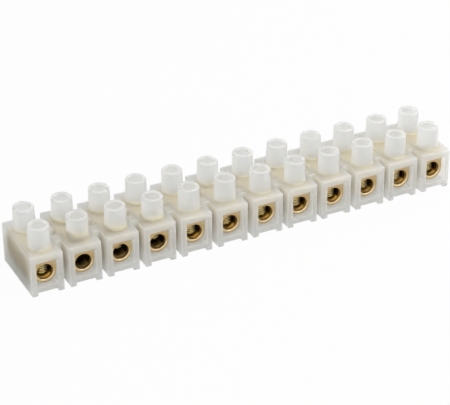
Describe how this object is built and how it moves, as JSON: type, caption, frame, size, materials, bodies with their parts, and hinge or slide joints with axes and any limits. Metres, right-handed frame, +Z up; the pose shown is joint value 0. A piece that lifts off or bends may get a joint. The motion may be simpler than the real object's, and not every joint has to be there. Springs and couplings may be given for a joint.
{
  "type": "screw connector strip",
  "caption": "Moulded strip of screw connectors in a row, with brass inserts for wires from the front and rear and captive clamping screws in hollow towers.",
  "frame": {"origin": "centre of the row and of its depth, on the plane that the feet stand on", "axes": "+X along the row from pole 1 to pole 12, +Y from the front wire entries to the rear ones, +Z up out of the screw towers"},
  "size_m": [0.1184, 0.0194, 0.0171],
  "materials": {
    "housing_plastic": "satin",
    "insert_brass": "satin",
    "screw_metal": "satin"
  },
  "bodies": {
    "strip": {"housing": "housing_plastic", "insert_01": "insert_brass", "insert_02": "insert_brass", "insert_03": "insert_brass", "insert_04": "insert_brass", "insert_05": "insert_brass", "insert_06": "insert_brass", "insert_07": "insert_brass", "insert_08": "insert_brass", "insert_09": "insert_brass", "insert_10": "insert_brass", "insert_11": "insert_brass", "insert_12": "insert_brass"},
    "screw_front_01": {"screw_front_01": "screw_metal"},
    "screw_front_02": {"screw_front_02": "screw_metal"},
    "screw_front_03": {"screw_front_03": "screw_metal"},
    "screw_front_04": {"screw_front_04": "screw_metal"},
    "screw_front_05": {"screw_front_05": "screw_metal"},
    "screw_front_06": {"screw_front_06": "screw_metal"},
    "screw_front_07": {"screw_front_07": "screw_metal"},
    "screw_front_08": {"screw_front_08": "screw_metal"},
    "screw_front_09": {"screw_front_09": "screw_metal"},
    "screw_front_10": {"screw_front_10": "screw_metal"},
    "screw_front_11": {"screw_front_11": "screw_metal"},
    "screw_front_12": {"screw_front_12": "screw_metal"},
    "screw_rear_01": {"screw_rear_01": "screw_metal"},
    "screw_rear_02": {"screw_rear_02": "screw_metal"},
    "screw_rear_03": {"screw_rear_03": "screw_metal"},
    "screw_rear_04": {"screw_rear_04": "screw_metal"},
    "screw_rear_05": {"screw_rear_05": "screw_metal"},
    "screw_rear_06": {"screw_rear_06": "screw_metal"},
    "screw_rear_07": {"screw_rear_07": "screw_metal"},
    "screw_rear_08": {"screw_rear_08": "screw_metal"},
    "screw_rear_09": {"screw_rear_09": "screw_metal"},
    "screw_rear_10": {"screw_rear_10": "screw_metal"},
    "screw_rear_11": {"screw_rear_11": "screw_metal"},
    "screw_rear_12": {"screw_rear_12": "screw_metal"}
  },
  "joints": [
    {"name": "screw_front_01_travel", "type": "slide", "parent": "strip", "child": "screw_front_01", "axis": [0, 0, 1], "range_m": [-0.00006, 0.0054]},
    {"name": "screw_front_02_travel", "type": "slide", "parent": "strip", "child": "screw_front_02", "axis": [0, 0, 1], "range_m": [-0.00251, 0.00294]},
    {"name": "screw_front_03_travel", "type": "slide", "parent": "strip", "child": "screw_front_03", "axis": [0, 0, 1], "range_m": [-0.00147, 0.00398]},
    {"name": "screw_front_04_travel", "type": "slide", "parent": "strip", "child": "screw_front_04", "axis": [0, 0, 1], "range_m": [-0.00136, 0.00409]},
    {"name": "screw_front_05_travel", "type": "slide", "parent": "strip", "child": "screw_front_05", "axis": [0, 0, 1], "range_m": [-0.00006, 0.0054]},
    {"name": "screw_front_06_travel", "type": "slide", "parent": "strip", "child": "screw_front_06", "axis": [0, 0, 1], "range_m": [-0.00011, 0.00534]},
    {"name": "screw_front_07_travel", "type": "slide", "parent": "strip", "child": "screw_front_07", "axis": [0, 0, 1], "range_m": [-0.00006, 0.0054]},
    {"name": "screw_front_08_travel", "type": "slide", "parent": "strip", "child": "screw_front_08", "axis": [0, 0, 1], "range_m": [-0.00011, 0.00534]},
    {"name": "screw_front_09_travel", "type": "slide", "parent": "strip", "child": "screw_front_09", "axis": [0, 0, 1], "range_m": [-0.00006, 0.0054]},
    {"name": "screw_front_10_travel", "type": "slide", "parent": "strip", "child": "screw_front_10", "axis": [0, 0, 1], "range_m": [-0.00011, 0.00534]},
    {"name": "screw_front_11_travel", "type": "slide", "parent": "strip", "child": "screw_front_11", "axis": [0, 0, 1], "range_m": [-0.00006, 0.0054]},
    {"name": "screw_front_12_travel", "type": "slide", "parent": "strip", "child": "screw_front_12", "axis": [0, 0, 1], "range_m": [-0.00011, 0.00534]},
    {"name": "screw_rear_01_travel", "type": "slide", "parent": "strip", "child": "screw_rear_01", "axis": [0, 0, 1], "range_m": [-0.00022, 0.00523]},
    {"name": "screw_rear_02_travel", "type": "slide", "parent": "strip", "child": "screw_rear_02", "axis": [0, 0, 1], "range_m": [-0.00109, 0.00436]},
    {"name": "screw_rear_03_travel", "type": "slide", "parent": "strip", "child": "screw_rear_03", "axis": [0, 0, 1], "range_m": [-0.00093, 0.00452]},
    {"name": "screw_rear_04_travel", "type": "slide", "parent": "strip", "child": "screw_rear_04", "axis": [0, 0, 1], "range_m": [-0.00033, 0.00512]},
    {"name": "screw_rear_05_travel", "type": "slide", "parent": "strip", "child": "screw_rear_05", "axis": [0, 0, 1], "range_m": [-0.00022, 0.00523]},
    {"name": "screw_rear_06_travel", "type": "slide", "parent": "strip", "child": "screw_rear_06", "axis": [0, 0, 1], "range_m": [-0.00071, 0.00474]},
    {"name": "screw_rear_07_travel", "type": "slide", "parent": "strip", "child": "screw_rear_07", "axis": [0, 0, 1], "range_m": [-0.00027, 0.00518]},
    {"name": "screw_rear_08_travel", "type": "slide", "parent": "strip", "child": "screw_rear_08", "axis": [0, 0, 1], "range_m": [-0.00022, 0.00523]},
    {"name": "screw_rear_09_travel", "type": "slide", "parent": "strip", "child": "screw_rear_09", "axis": [0, 0, 1], "range_m": [-0.00038, 0.00507]},
    {"name": "screw_rear_10_travel", "type": "slide", "parent": "strip", "child": "screw_rear_10", "axis": [0, 0, 1], "range_m": [-0.00022, 0.00523]},
    {"name": "screw_rear_11_travel", "type": "slide", "parent": "strip", "child": "screw_rear_11", "axis": [0, 0, 1], "range_m": [-0.00027, 0.00518]},
    {"name": "screw_rear_12_travel", "type": "slide", "parent": "strip", "child": "screw_rear_12", "axis": [0, 0, 1], "range_m": [-0.00022, 0.00523]}
  ]
}
